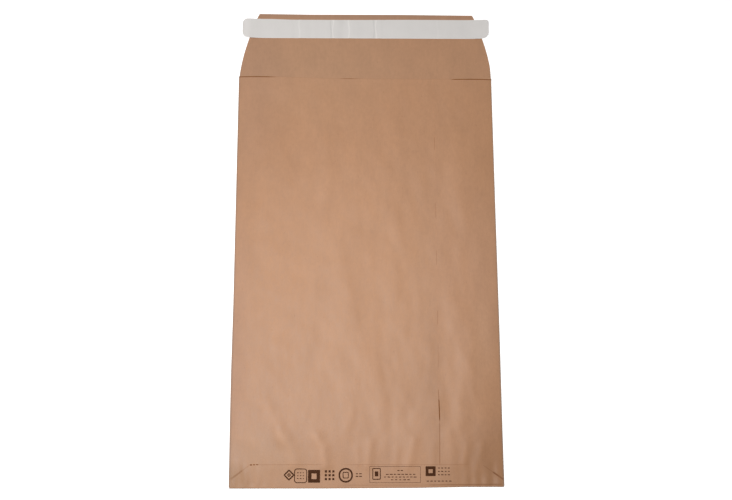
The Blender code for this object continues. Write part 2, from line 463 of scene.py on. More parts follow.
def outerFrontHeight(x, s):
    beyond = (x - innerEdge) / (panelHalf - innerEdge)
    span = (s - sheet["seamLiftFrom"]) / (sheet["seamLiftTo"] - sheet["seamLiftFrom"])
    lift = sheet["seamLift"] * np.sin(math.pi * np.clip(span, 0.0, 1.0)) ** 2
    lift = lift * (1.0 - ease((x - sheet["seamEdge"]) / sheet["seamLiftRun"]))
    return frontHeight(x, s) + lapLift * (1.0 - ease(beyond)) + lift


def footFlapHeight(x, s):
    step = rising(x, sheet["seamEdge"] - sheet["lapStep"], sheet["seamEdge"])
    over = outerFrontHeight(np.maximum(x, innerEdge), s) - frontHeight(np.maximum(x, innerEdge), s)
    return frontHeight(x, s) + np.where(x > innerEdge, over, lapLift * step) + lapLift


def sideBendPoints(side, lowZ, highZ):
    middle = (lowZ + highZ) / 2
    half = (highZ - lowZ) / 2
    angles = math.pi / 2 - math.pi * np.arange(1, fineness["bendSteps"]) / fineness["bendSteps"]
    return side * (panelHalf + sheet["sideBend"] * np.cos(angles)), middle + half * np.sin(angles)


backColumns = spread(-panelHalf, panelHalf, fineness["backColumns"])
lapColumns = spreadBy(innerEdge, sheet["seamEdge"], fineness["frontCell"])
leftColumns = np.concatenate([
    lapColumns,
    spreadBy(sheet["seamEdge"], -panelHalf, fineness["frontCell"])[1:],
])
rightColumns = np.concatenate([
    spreadBy(panelHalf, innerEdge, fineness["frontCell"]),
    lapColumns[1:],
])
bendCount = fineness["bendSteps"] - 1
backSlice = slice(len(leftColumns) + bendCount, len(leftColumns) + bendCount + len(backColumns))


def tubeSection(s):  # from the inner seam edge, round by the left fold and back, to the outer edge
    leftTop = float(frontHeight(-panelHalf, s))
    rightTop = float(outerFrontHeight(panelHalf, s))
    leftX, leftZ = sideBendPoints(-1, backHeight, leftTop)
    rightX, rightZ = sideBendPoints(1, backHeight, rightTop)
    flat = np.zeros(len(backColumns))
    x = np.concatenate([leftColumns, leftX, backColumns, rightX[::-1], rightColumns])
    left, right = frontHeight(leftColumns, s), outerFrontHeight(rightColumns, s)
    z = np.concatenate([left, leftZ, flat + backHeight, rightZ[::-1], right])
    down, up = spread(1, 0, bendCount - 1), spread(0, 1, bendCount - 1)
    layer = np.concatenate([left * 0 + 1, down, flat, up, right * 0 + 1])
    return x, z, layer


def mouthCut(x, s, layer):  # the front's edge is cut a little askew
    reach = rising(s, sheet["mouthCutFrom"], bagLength)
    dip = sheet["mouthSkew"] * rising(x, *sheet["mouthDip"])
    back = sheet["mouthReturn"] * rising(x, *sheet["mouthBack"])
    return s - layer * reach * (dip - back)


shoulderEnd = math.sin(sheet["shoulderAngle"]) - math.sin(sheet["shoulderLean"])
shoulderEnd *= sheet["shoulderRadius"]


def flapHalfWidth(reach):
    lean, radius = math.sin(sheet["shoulderLean"]), sheet["shoulderRadius"]
    onArc = min(reach, shoulderEnd)
    start, end = lean, lean + onArc / radius
    narrowing = radius * (math.sqrt(1.0 - start**2) - math.sqrt(1.0 - end**2))
    narrowing += (reach - onArc) * math.tan(sheet["shoulderAngle"])
    narrowing += max(reach - sheet["flapLength"] + sheet["cornerCut"], 0.0) * sheet["cornerSlope"]
    return panelHalf - narrowing


def footFlapHalfWidth(s):
    share = (s - sheet["footShoulder"]) / (sheet["footHeight"] - sheet["footShoulder"])
    return panelHalf + (sheet["footTopWidth"] / 2 - panelHalf) * min(max(share, 0.0), 1.0)


class SheetMesh:  # gathers rows of points at mid thickness, with what the relief tree reads
    def __init__(self):
        self.points = []
        self.faces = []

    def row(self, x, s, z, layer):
        first = len(self.points)
        x = np.asarray(x, float)
        layer = np.broadcast_to(layer, x.shape)
        along = np.broadcast_to(s, x.shape)
        z = np.broadcast_to(z, x.shape)
        self.points.extend(zip(x, along, z, layer))
        return list(range(first, len(self.points)))

    def skin(self, rows, turned=False):
        for first, second in zip(rows, rows[1:]):
            if turned:
                first, second = second, first
            for i in range(len(first) - 1):
                self.faces.append((first[i], first[i + 1], second[i + 1], second[i]))

    def object(self, name):
        x, s, z, layer = np.array(self.points).T
        made = bpy.data.meshes.new(name)
        made.from_pydata(np.stack([x, s - overallLength / 2, z], 1).tolist(), [], self.faces)
        for key, values in {"layer": layer, **looseness(x, s, layer)}.items():
            stored = made.attributes.new(key, "FLOAT", "POINT")
            stored.data.foreach_set("value", values.astype(np.float32))
        return addObject(name, made)


def looseness(x, s, layer):  # how far the sheet cockles and puckers, and where its creases are made paler by rubbing and painted highlight
    fromEdge = bagWidth / 2 - np.abs(x)
    inward = ease(fromEdge / slack["side"])
    front = inward * rising(s, *slack["foot"])
    front = front * (1.0 - slack["calmLoss"] * rising(s, *slack["calm"]))
    front = front * (1.0 - slack["mouthLoss"] * rising(s, bagLength - slack["mouth"], bagLength))
    back = slack["backShare"] * inward * ease(s / slack["back"])
    back = back * (1.0 - ease((s - bagLength) / slack["back"]))
    corner = rising(np.abs(x), *slack["puckerSide"]) * ease(fromEdge / slack["puckerEdge"])
    pucker = corner * ease(s / slack["puckerEdge"]) * (1.0 - rising(s, *slack["puckerEnd"]))
    loose = back + (front - back) * layer
    return {"loose": loose, "pucker": pucker * layer, "rubAndHighlight": rubbedAndLitCrests(x, s) * layer}


def foldedSheet():
    shape = SheetMesh()
    low, top = sheet["footShoulder"], sheet["footHeight"]
    underFlap = list(spreadBy(fineness["evenFrom"], low, fineness["footCell"]))
    underFlap += list(spreadBy(low, top, fineness["footCell"]))[1:]
    stations = [tubeStart, *underFlap]
    stations += list(spreadBy(top, fineness["lowerEnd"], fineness["lowerCell"]))[1:]
    stations += list(spreadBy(fineness["lowerEnd"], bagLength, fineness["upperCell"]))[1:]
    tube = []
    for s in stations:
        x, z, layer = tubeSection(s)
        tube.append(shape.row(x, mouthCut(x, s, layer), z, layer))
    shape.skin(tube)

    flap = [tube[-1][backSlice]]
    cutStart = sheet["flapLength"] - sheet["cornerCut"]
    reaches = list(spread(0, shoulderEnd, fineness["shoulderRows"]))[1:]
    reaches += list(spread(shoulderEnd, cutStart, fineness["flapRows"]))[1:]
    for reach in [*reaches, sheet["flapLength"]]:
        x = backColumns * flapHalfWidth(reach) / panelHalf
        flap.append(shape.row(x, bagLength + reach, backHeight, 0.0))
    shape.skin(flap)

    foot = [tube[0][backSlice], shape.row(backColumns, footStart, backHeight, 0.0)]
    half = (footFlapHeight(backColumns, footStart) - backHeight) / 2
    for i in range(1, fineness["footTurns"]):
        angle = math.pi * i / fineness["footTurns"]
        z = backHeight + half * (1.0 - math.cos(angle))
        s = footStart - sheet["footBend"] * math.sin(angle)
        foot.append(shape.row(backColumns, s, z, i / fineness["footTurns"]))
    for s in [footStart, *underFlap]:
        x = backColumns * footFlapHalfWidth(s) / panelHalf
        foot.append(shape.row(x, s, footFlapHeight(x, s), 1.0))
    shape.skin(foot, turned=True)
    return shape


def strayAt(name, place):
    places, shifts = zip(*stray[name])
    return 0.001 * np.interp(place * 1000.0, places, shifts)


def letStray(shape):
    x, s, z, layer = np.array(shape.points).T
    side = np.where(x < 0, strayAt("leftFold", s), strayAt("rightFold", s))
    side *= np.interp(np.abs(x), strayReach["side"], (0.0, 1.0))
    end = strayAt("foot", x) * (1.0 - rising(s, *strayReach["foot"]))
    end += strayAt("flapTop", x) * rising(s, *strayReach["flapTop"])
    shape.points = list(zip(x + side, s + end, z, layer))
    return shape


def filmSheet(columns, rows, height, layer):
    shape = SheetMesh()
    shape.skin([shape.row(columns, s, height(columns, s), layer) for s in rows])
    return shape


# Relief tree: cockling of the loose paper and the puckers of the glued foot

relief = {
    "Cockle Height": 0.0010,
    "Cockle Length": 0.034,
    "Crumple Height": 0.00055,
    "Crumple Length": 0.013,
    "Pucker Height": 0.0006,
    "Pucker Pitch": 0.0105,
    "Seed": 7.0,
}
reliefNoise = {
    "cockleStretch": 0.42,  # along the bag, where 1 is as across it
    "crumpleStretch": 0.6,
    "cockleApart": 3.0,  # front and back lie this far apart in the noise
    "crumpleApart": 5.0,
    "swayScale": 2.2,
    "sway": 9.0,  # how far the puckers wander
}


def sheetPlace(wire, x, y, layer, length, stretch, apart):
    flat = {0: x / length, 1: y * stretch / length, 2: layer * apart}
    return wire.add("ShaderNodeCombineXYZ", None, flat)


def newTree(name, inputs):  # a Geometry Nodes tree with named inputs beside its geometry
    tree = bpy.data.node_groups.new(name, "GeometryNodeTree")
    for key, kind in {"Geometry": "Geometry", **inputs}.items():
        tree.interface.new_socket(key, in_out="INPUT", socket_type="NodeSocket" + kind)
    tree.interface.new_socket("Geometry", in_out="OUTPUT", socket_type="NodeSocketGeometry")
    wire = Wire(tree)
    return tree, wire, wire.add("NodeGroupInput")


def reliefTree(material):
    tree, wire, given = newTree("paperRelief", dict.fromkeys(relief, "Float"))
    x = wire.add("ShaderNodeSeparateXYZ", None, {0: wire.add("GeometryNodeInputPosition")})
    y, z = x.other(1), x.other(2)
    read = {}
    for name in ("layer", "loose", "pucker"):
        read[name] = wire.add("GeometryNodeInputNamedAttribute", {"data_type": "FLOAT"}, {0: name})
    values = (reliefNoise["cockleStretch"], reliefNoise["cockleApart"])
    flat = sheetPlace(wire, x, y, read["layer"], given.other("Cockle Length"), *values)
    sockets = {"Vector": flat, "W": given.other("Seed"), "Detail": 2.0, "Roughness": 0.45}
    settings = {"noise_dimensions": "4D"}
    cockle = wire.add("ShaderNodeTexNoise", settings, {**sockets, "Scale": 1.0})
    sway = wire.add("ShaderNodeTexNoise", settings, {**sockets, "Scale": reliefNoise["swayScale"]})
    turn = x * (2 * math.pi) / given.other("Pucker Pitch") + sway * reliefNoise["sway"]
    wave = wire.maths("SINE", turn)
    values = (reliefNoise["crumpleStretch"], reliefNoise["crumpleApart"])
    flat = sheetPlace(wire, x, y, read["layer"], given.other("Crumple Length"), *values)
    crumple = wire.add("ShaderNodeTexNoise", None, {"Vector": flat, "Scale": 1.0, "Detail": 1.0})
    lift = (cockle - 0.5) * 2.0 * read["loose"] * given.other("Cockle Height")
    lift = lift + (crumple - 0.5) * 2.0 * read["loose"] * given.other("Crumple Height")
    lift = lift + wave * read["pucker"] * given.other("Pucker Height") * 0.5
    height = wire.maths("MAXIMUM", z + lift, sheet["thickness"] / 2)
    moved = wire.add("ShaderNodeCombineXYZ", None, {0: x, 1: y, 2: height})
    shaped = wire.add("GeometryNodeSetPosition", None, {0: given, "Position": moved})
    finishTree(wire, shaped, material)
    return tree


def finishTree(wire, shaped, material):
    real = wire.add("GeometryNodeRealizeInstances", None, {0: shaped})
    coated = wire.add("GeometryNodeSetMaterial", None, {0: real, "Material": material})
    output = wire.tree.nodes.new("NodeGroupOutput")
    wire.tree.links.new(coated.socket, output.inputs[0])


def addTree(rough, tree, values):
    modifier = rough.modifiers.new(tree.name, "NODES")
    modifier.node_group = tree
    for item in tree.interface.items_tree:
        if item.in_out == "INPUT" and item.name in values:
            modifier[item.identifier] = values[item.name]


def bake(rough, name):  # the evaluated object as a plain mesh, and the rough one removed
    graph = bpy.context.evaluated_depsgraph_get()
    plain = bpy.data.meshes.new_from_object(rough.evaluated_get(graph))
    bpy.data.objects.remove(rough)
    plain.name = name
    return addObject(name, plain)


def finishShading(piece):
    shape = bmesh.new()
    shape.from_mesh(piece.data)
    bmesh.ops.recalc_face_normals(shape, faces=shape.faces)
    shape.to_mesh(piece.data)
    shape.free()
    piece.data.shade_smooth()
    piece.data.set_sharp_from_angle(angle=fineness["sharpAngle"])


def dressSheet(shape, name, material, thickness):
    rough = shape.object(name + "Rough")
    addTree(rough, reliefTree(material), relief)
    wall = rough.modifiers.new("wall", "SOLIDIFY")
    wall.thickness = thickness
    wall.offset = 0.0
    wall.use_even_offset = True
    done = bake(rough, name)
    finishShading(done)
    return done


kraftLook = {
    "color": (0.4185, 0.2160, 0.1125, 1.0),
    "shades": {"clouds": 0.20, "mottle": 0.15, "fibres": 0.12, "grain": 0.08},
    "crestRubAndHighlight": 0.10,  # how much paler a crease is made: rubbing, and painted highlight on its lit flank
    "fleck": (0.200, 0.085, 0.038, 1.0),
    "fleckFrom": (0.70, 0.80),
    "fleckShare": 0.22,
    "roughness": 0.49,
    "matts": {"fibres": 0.16, "mottle": 0.08},
    "specular": 0.42,
    "bumps": {"fibres": 0.6, "grain": 0.4},
    "bumpStrength": 0.25,
    "bumpHeight": 0.0002,
    "onFront": (0.4, 0.6),  # the layer is 0 on the back and 1 on the front
    "lineTone": (0.42, 0.24, 0.02),  # what is left of the paper's colour in a dark hairline
    "lineDepth": 1.45,
    "lineMatt": 0.30,
    "lineSoft": (0.3, 1.3),  # shares of a line's reach between which it fades
    "lineEnds": (-0.06, 0.10),  # and of its length
    "mouthEnds": (8.0, 14.0),  # mm over which a line at the mouth fades, left and right
    "mouthStop": (-2.0, -1.0),
    "foldShade": (0.205, 0.150, 0.112, 1.0),  # painted shade along both side folds, where the paper rounds away
    "foldShadeFrom": (122.6, 125.0),
    "foldShadeShare": 0.42,
    "flapInnerSideAndShade": (0.955, 0.98, 1.01),  # the closing flap shows the sheet's inner side, with painted shade as the light falls off towards the top
    "flapShadeFrom": (372.0, 402.0),
}
kraftNoises = {  # stretch, scale, detail, roughness
    "clouds": ((1.0, 0.42, 1.0), 72.0, 3.0, 0.5),
    "mottle": ((1.0, 0.7, 1.0), 330.0, 2.0, 0.5),
    "fibres": ((1.0, 0.10, 1.0), 1100.0, 3.0, 0.6),
    "grain": ((1.0, 0.8, 1.0), 2200.0, 2.0, 0.6),
    "flecks": ((1.0, 0.3, 1.0), 900.0, 1.0, 0.5),
}

# Dark hairlines where paper edges stand in their own shade: from, to and reach in mm, depth
edgeLines = [
    ((66.9, 60), (66.6, 80), 0.60, 0.46),
    ((66.8, 61), (66.2, 90), 0.45, 0.30),
    ((66.4, 20), (66.8, 60), 0.45, 0.32),
    ((66.6, 108), (66.6, 132), 0.35, 0.16),
    ((66.6, 150), (66.6, 164), 0.35, 0.24),
    ((66.6, 208), (66.6, 222), 0.35, 0.22),
    ((66.6, 254), (66.6, 270), 0.35, 0.18),
    ((66.6, 323), (66.6, 337), 0.35, 0.22),
    ((-124, 7.4), (-113, 15.6), 1.1, 0.16),
    ((-121, 9.4), (-106.6, 20.3), 0.5, 0.12),
    ((-106.2, 20.5), (-104.2, 20.5), 0.6, 0.80),
    ((-103.4, 20.6), (-101.6, 20.6), 0.5, 0.75),
    ((-100.8, 20.7), (-98.6, 20.7), 0.5, 0.65),
    ((-99, 20.6), (-40, 20.6), 0.4, 0.16),
    ((-20, 20.6), (92, 20.6), 0.4, 0.16),
    ((106, 20.3), (120, 10.6), 0.45, 0.18),
    ((115, 14.2), (124.8, 7.3), 0.9, 0.40),
    ((-24, 2.4), (56, 2.4), 0.5, 0.14),
    ((55, 2.5), (124, 3.2), 0.6, 0.32),
]
mouthShadeLines = [  # painted shade lines along the front's edge at the mouth: both ends and width in mm, depth
    (-140, -84, 1.3, 0.56),
    (-28, -2, 0.7, 0.42),
    (82, 145, 1.0, 0.85),
    (-140, 145, 0.35, 0.12),
]
# Painted light, shade and sheen in soft patches, and a greyer, bluer strip above the liner: centre and
# reach in mm, change
lightAndShadeTones = [
    ((128, -4), (64, 80), (0.83, 0.83, 0.86)),
    ((-124, 5), (24, 20), (0.78, 0.72, 0.55)),
    ((128, 4), (70, 52), (0.86, 0.80, 0.66)),
    ((-129, 120), (24, 190), (1.02, 1.075, 1.235)),
    ((61, 72), (13, 85), (0.94, 0.94, 0.94)),
    ((-20, 185), (85, 160), (1.05, 1.04, 1.02)),
    ((-90, 205), (38, 165), (0.99, 0.96, 0.905)),
    ((92, 200), (36, 130), (1.04, 1.05, 1.09)),
    ((129, 190), (36, 130), (1.04, 1.08, 1.16)),
    ((-128, 390), (60, 130), (0.93, 0.95, 1.00)),
    ((-40, 415), (85, 80), (1.005, 1.03, 1.05)),
    ((-105, 28), (60, 32), (0.96, 0.99, 1.0)),
    ((108, 130), (15, 48), (1.03, 1.055, 1.08)),
    ((0, 469), (170, 9), (0.85, 0.92, 1.07)),
]


def lineMask(wire, across, along, start, end, reach):  # 1 on a straight line, 0 beyond its reach
    length = math.dist(start, end)
    runX, runS = (end[0] - start[0]) / length, (end[1] - start[1]) / length
    aside = wire.maths("ABSOLUTE", (across - start[0]) * runS - (along - start[1]) * runX)
    share = ((across - start[0]) * runX + (along - start[1]) * runS) / length
    low, high = kraftLook["lineEnds"]
    ends = share.between(low, high) * (1.0 - share.between(1.0 - high, 1.0 - low))
    low, high = kraftLook["lineSoft"]
    return (1.0 - aside.between(reach * low, reach * high)) * ends


def edgeShade(wire, across, along, onFront):
    total = None
    for start, end, reach, depth in edgeLines:
        line = lineMask(wire, across, along, start, end, reach) * depth
        total = line if total is None else total + line
    dipFrom, dipTo, backFrom, backTo = [1000.0 * x for x in sheet["mouthDip"] + sheet["mouthBack"]]
    dip = across.between(dipFrom, dipTo) * sheet["mouthSkew"] * 1000.0
    back = across.between(backFrom, backTo) * sheet["mouthReturn"] * 1000.0
    fromEdge = bagLength * 1000.0 - dip + back - along
    leftEnd, rightEnd = kraftLook["mouthEnds"]
    # painted shade along the front's edge at the mouth
    for low, high, width, depth in mouthShadeLines:
        taper = across.between(low, low + leftEnd) * (1.0 - across.between(high - rightEnd, high))
        line = (1.0 - fromEdge.between(width / 2, width)) * fromEdge.between(*kraftLook["mouthStop"])
        total = total + line * taper * depth
    return (total * onFront * kraftLook["lineDepth"]).clamp()


def kraftColor(wire, noises, across, along, onFront):
    shade = varied(1.0, noises, kraftLook["shades"])
    # paler crests: rubbing, with painted highlight on their lit flanks
    shade = shade + storedValue(wire, "rubAndHighlight") * kraftLook["crestRubAndHighlight"]
    flecks = noises["flecks"].between(*kraftLook["fleckFrom"]) * kraftLook["fleckShare"]
    color = flecks.blendColor(shade.tint(kraftLook["color"]), kraftLook["fleck"])
    # soft patches of painted light, shade and sheen, and the strip above the liner
    for (middleX, middleS), (reachX, reachS), change in lightAndShadeTones:
        away = ((across - middleX) / reachX) ** 2 + ((along - middleS) / reachS) ** 2
        color = (1.0 - away).clamp().toned(color, change)
    # the flap's inner side, and painted shade towards the top
    flap = (1.0 - onFront) * along.between(*kraftLook["flapShadeFrom"])
    color = flap.toned(color, kraftLook["flapInnerSideAndShade"])
    # painted shade: the last few mm by both side folds are made darker
    foldShade = wire.maths("ABSOLUTE", across).between(*kraftLook["foldShadeFrom"]) * kraftLook["foldShadeShare"]
    return foldShade.blendColor(color, kraftLook["foldShade"])


def kraftMaterial():
    material, wire = newMaterial("brownKraft")
    place = objectPlace(wire)
    noises = addNoises(wire, place, kraftNoises)
    onFront = storedValue(wire, "layer").between(*kraftLook["onFront"])
    x = wire.add("ShaderNodeSeparateXYZ", None, {0: place})
    across = x * 1000.0
    along = (x.other(1) + overallLength / 2) * 1000.0
    lines = edgeShade(wire, across, along, onFront)
    color = kraftColor(wire, noises, across, along, onFront)
    rough = varied(kraftLook["roughness"], noises, kraftLook["matts"]) + lines * kraftLook["lineMatt"]
    sockets = {
        "Base Color": lines.toned(color, kraftLook["lineTone"]),
        "Roughness": rough,
        "Normal": bumped(wire, noises, kraftLook),
        "Specular IOR Level": kraftLook["specular"],
    }
    finishPaint(wire, sockets)
    return material


kraft = kraftMaterial()
bag = dressSheet(letStray(foldedSheet()), "kraftBag", kraft, sheet["thickness"])
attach(bag, "root")
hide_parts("bag")
print("bag folded:", len(bag.data.polygons), "faces")

glue = {
    "film": 0.00004,
    "margin": 0.004,
    "footWidth": 0.196,
    "seamTo": 0.396,
    "color": (0.72, 0.62, 0.48, 1.0),
    "blotchScale": 300.0,
    "shade": 1.0,
    "shadeDepth": 0.5,
    "roughness": 0.45,
    "roughDepth": 0.2,
}


# A thin film between layers: where its points lie, its name, the node it replaces, and its look
def layFilm(columns, rows, height, name, node, material, film, layer=1.0):
    shape = letStray(filmSheet(columns, rows, height, layer))
    piece = dressSheet(shape, name, material, film)
    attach(piece, "root")
    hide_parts(node)


driedGlue = blotchedMaterial("driedGlue", glue)
seamGlueEnds = (sheet["seamEdge"] + glue["margin"], innerEdge - glue["margin"])
layFilm(
    spread(*seamGlueEnds, fineness["seamGlueColumns"]),
    spreadBy(sheet["footShoulder"], glue["seamTo"], fineness["lowerCell"]),
    lambda x, s: frontHeight(x, s) + lapLift / 2,
    "seamGlue", "side_seam_glue", driedGlue, glue["film"],
)
layFilm(
    spread(-glue["footWidth"] / 2, glue["footWidth"] / 2, fineness["footGlueColumns"]),
    spread(glue["margin"], sheet["footHeight"] - glue["margin"], fineness["footGlueRows"]),
    lambda x, s: footFlapHeight(x, s) - lapLift / 2,
    "footGlue", "bottom_flap_glue", driedGlue, glue["film"],
)
print("glue lines laid")

# Adhesive strip and its release liner on the closing flap

strip = {
    "width": 0.0204,
    "length": 0.2456,
    "film": 0.00009,
    "edgeGap": 0.0046,
    "turn": math.radians(0.22),  # it was laid a little askew
    "offset": 0.0004,  # and this far to the right
    # Corner radii by side, where -1 is left, and by edge, where -1 is the lower one
    "corners": {(-1, -1): 0.0055, (-1, 1): 0.0055, (1, 1): 0.0028, (1, -1): 0.0075},
    "leftLift": 0.0023,  # both free ends curl up
    "rightLift": 0.0019,
    "curl": (0.100, 0.128),
    "waveSway": 0.6,
    "waveTurn": 260.0,
    "seat": 0.00002,  # left free above and below the adhesive
}

adhesive = {
    "width": 0.0180,
    "length": 0.216,
    "film": 0.00008,
    "color": (0.50, 0.36, 0.24, 1.0),
    "blotchScale": 200.0,
    "shade": 0.95,
    "shadeDepth": 0.3,
    "roughness": 0.20,
    "roughDepth": 0.1,
}

linerLook = {
    "color": (0.735, 0.705, 0.680, 1.0),
    "shades": {"clouds": 0.06, "ribs": 0.06, "fine": 0.02},
    "roughness": 0.36,
    "matts": {"clouds": 0.16},
    "alpha": 0.9,
    "bumps": {"ribs": 1.0, "fine": 0.2},
    "bumpStrength": 0.3,
    "bumpHeight": 0.0004,
    "paleEdge": (-10.3, -8.6),  # its lower edge catches the light, in mm from its middle
    "paleEdgeShade": 0.07,
    "streakSway": 0.5,
    "streakTurn": 0.3,
}
linerNoises = {  # stretch, scale
    "clouds": ((1.0, 1.0, 1.0), 90.0),
    "ribs": ((1.0, 0.05, 1.0), 160.0),
    "fine": ((1.0, 1.0, 1.0), 1500.0),
}

# Waves of the liner: across in mm, half width, height
linerWaves = [(-66, 1.6, 0.16), (-33, 1.4, 0.14), (-16, 2.6, 0.20), (9, 1.3, 0.20), (14, 1.5, 0.18)]
linerLightStreaks = [  # painted highlights and shade of the liner's crinkles: across in mm, half width, how much paler
    (-66.0, 1.4, 0.07),
    (-34.6, 1.4, -0.10),
    (-32.4, 1.1, 0.11),
    (-25.0, 5.0, -0.03),
    (-16.6, 1.3, 0.10),
    (8.4, 1.3, -0.10),
    (10.4, 1.2, 0.13),
    (72.0, 1.5, 0.03),
    (-119.0, 6.0, 0.06),
]


def linerMaterial():
    material, wire = newMaterial("releaseLiner")
    place = objectPlace(wire)
    noises = addNoises(wire, place, linerNoises)
    x = wire.add("ShaderNodeSeparateXYZ", None, {0: place})
    across = x * 1000.0
    up = (x.other(1) - stripMiddle + overallLength / 2) * 1000.0 - across * math.sin(strip["turn"])
    pale = varied(1.0, noises, linerLook["shades"])
    pale = pale + (1.0 - up.between(*linerLook["paleEdge"])) * linerLook["paleEdgeShade"]
    # painted highlights and shade along the liner's crinkles
    for centre, reach, amount in linerLightStreaks:
        sway = wire.maths("SINE", up * linerLook["streakTurn"] + centre) * linerLook["streakSway"]
        aside = wire.maths("ABSOLUTE", across - centre - sway)
        pale = pale + (1.0 - aside.between(0.0, reach)) * amount
    sockets = {
        "Base Color": pale.tint(linerLook["color"]),
        "Roughness": varied(linerLook["roughness"], noises, linerLook["matts"]),
        "Normal": bumped(wire, noises, linerLook),
        "Alpha": linerLook["alpha"],
    }
    finishPaint(wire, sockets)
    return material


stripMiddle = overallLength - strip["edgeGap"] - strip["width"] / 2
adhesiveHeight = sheet["thickness"] + strip["seat"] + adhesive["film"] / 2
linerHeight = adhesiveHeight + adhesive["film"] / 2 + strip["seat"] + strip["film"] / 2


def cornerInset(side, end, along):
    radius = strip["corners"][(side, end)]
    over = max(abs(along) - (strip["width"] / 2 - radius), 0.0)
    return radius - math.sqrt(max(radius**2 - over**2, 0.0))


def linerSheet():
    shape = SheetMesh()
    rows = []
    half = strip["width"] / 2
    for along in half * np.sin(spread(-math.pi / 2, math.pi / 2, fineness["linerRows"])):
        end = 1 if along > 0 else -1
        left = -strip["length"] / 2 + cornerInset(-1, end, along)
        right = strip["length"] / 2 - cornerInset(1, end, along)
        x = spread(left, right, fineness["linerColumns"])
        z = np.full(len(x), linerHeight)
        for centre, reach, height in linerWaves:
            sway = strip["waveSway"] * math.sin(along * strip["waveTurn"] + centre)
            z = z + 0.001 * height * np.exp(-(((x * 1000 - centre - sway) / reach) ** 2))
        lift = np.where(x < 0, strip["leftLift"], strip["rightLift"])
        z = z + lift * rising(np.abs(x), *strip["curl"])
        turnedX = strip["offset"] + x * math.cos(strip["turn"]) - along * math.sin(strip["turn"])
        turnedS = stripMiddle + x * math.sin(strip["turn"]) + along * math.cos(strip["turn"])
        turnedS = turnedS + strayAt("linerTop", x) * max(along / half, 0.0)
        rows.append(shape.row(turnedX, turnedS, z, 0.0))
    shape.skin(rows)
    return shape


tackyStrip = blotchedMaterial("tackyStrip", adhesive)
layFilm(
    spread(-adhesive["length"] / 2, adhesive["length"] / 2, fineness["adhesiveColumns"]),
    stripMiddle + spread(-adhesive["width"] / 2, adhesive["width"] / 2, fineness["adhesiveRows"]),
    lambda x, s: adhesiveHeight,
    "adhesiveStrip", "flap_adhesive", tackyStrip, adhesive["film"], 0.0,
)
liner = dressSheet(linerSheet(), "releaseLiner", linerMaterial(), strip["film"])
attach(liner, "root")
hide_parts("release_liner")
print("adhesive and liner laid")

# Print on the bottom flap: plain marks that say nothing, in mm across and up from the foot

ink = {
    "color": (0.050, 0.0145, 0.002, 1.0),
    "worn": (0.150, 0.066, 0.030, 1.0),
    "wornFrom": (0.56, 0.70),
    "wornShare": 0.4,
    "roughness": 0.70,
    "matts": {"fibres": 0.2},
    "specular": 0.14,
    "cell": 1.3,  # mm between the points of a mark
    "cornerSteps": 4,  # in a quarter turn, at the least
    "patchRows": 14,
    "hollowRadius": 0.6,
    "stampPoints": (3, 9),  # points across and along one small mark
    "firstSeed": 11,
    "dropFrom": 0.05,  # the marks drop onto the bag from this height
    "dropReach": 0.1,
    "lift": 0.00004,
    "film": 0.00002,
}
inkNoises = {"fibres": ((1.0, 0.3, 1.0), 1800.0)}

markFrames = [  # left, right, bottom, top, corner radius, line width
    (-65.6, -54.6, 4.6, 16.8, 2.2, 0.8),
    (2.6, 48.8, 4.6, 19.0, 0.4, 0.28),
    (5.4, 12.2, 7.6, 17.2, 0.5, 0.8),
    (-25.0, -13.4, 5.4, 17.0, 5.6, 1.5),  # a ring
    (-21.6, -16.8, 8.8, 13.8, 0.6, 0.8),
]
markPatches = [  # left, right, bottom, top, corner radius
    (7.2, 10.4, 10.2, 14.6, 0.4),
]
markHollows = [  # left, right, bottom, top, width of the solid border
    (-53.4, -42.4, 4.6, 16.0, 3.2),
    (53.4, 62.6, 10.4, 19.2, 2.7),
]
markDiamonds = [(-70.6, 11.4, 4.3, 1.3), (-70.6, 11.4, 1.3, 1.2)]  # centre, half diagonal, line width

repeatInputs = {
    "Columns": "Int", "Rows": "Int", "Across": "Float", "Along": "Float", "Across Pitch": "Float",
    "Along Pitch": "Float", "Width": "Float", "Height": "Float", "Unevenness": "Float",
}
markRepeats = [  # the inputs in this order, for one Geometry Nodes object each
    (3, 3, -37.2, 7.8, 3.4, 3.4, 2.0, 2.0, 0.0),
    (2, 2, -9.0, 10.2, 3.2, 2.3, 2.6, 0.8, 0.3),
    (3, 3, -62.6, 8.2, 2.5, 2.6, 1.7, 0.7, 0.4),
    (8, 1, 18.6, 12.0, 3.5, 1.0, 2.8, 0.75, 0.5),
    (9, 1, 16.6, 9.6, 3.4, 1.0, 2.7, 0.75, 0.5),
    (5, 1, 23.0, 7.2, 3.7, 1.0, 2.7, 0.7, 0.5),
    (2, 1, 28.8, 15.4, 3.0, 1.0, 2.4, 0.8, 0.3),
    (4, 3, 65.6, 11.6, 3.0, 3.0, 2.4, 0.8, 0.5),
    (7, 1, 55.4, 6.0, 3.4, 1.0, 2.7, 0.8, 0.4),
]


def roundedOutline(left, right, bottom, top, radius):
    turns = [(right, top, 0), (left, top, 1), (left, bottom, 2), (right, bottom, 3)]
    points = []
    for cornerX, cornerS, quarter in turns:
        centreX = cornerX - math.copysign(radius, cornerX - (left + right) / 2)
        centreS = cornerS - math.copysign(radius, cornerS - (bottom + top) / 2)
        steps = max(ink["cornerSteps"], round(radius * 2))
        for angle in spread(0, math.pi / 2, steps) + quarter * math.pi / 2:
            points.append((centreX + radius * math.cos(angle), centreS + radius * math.sin(angle)))
    return points


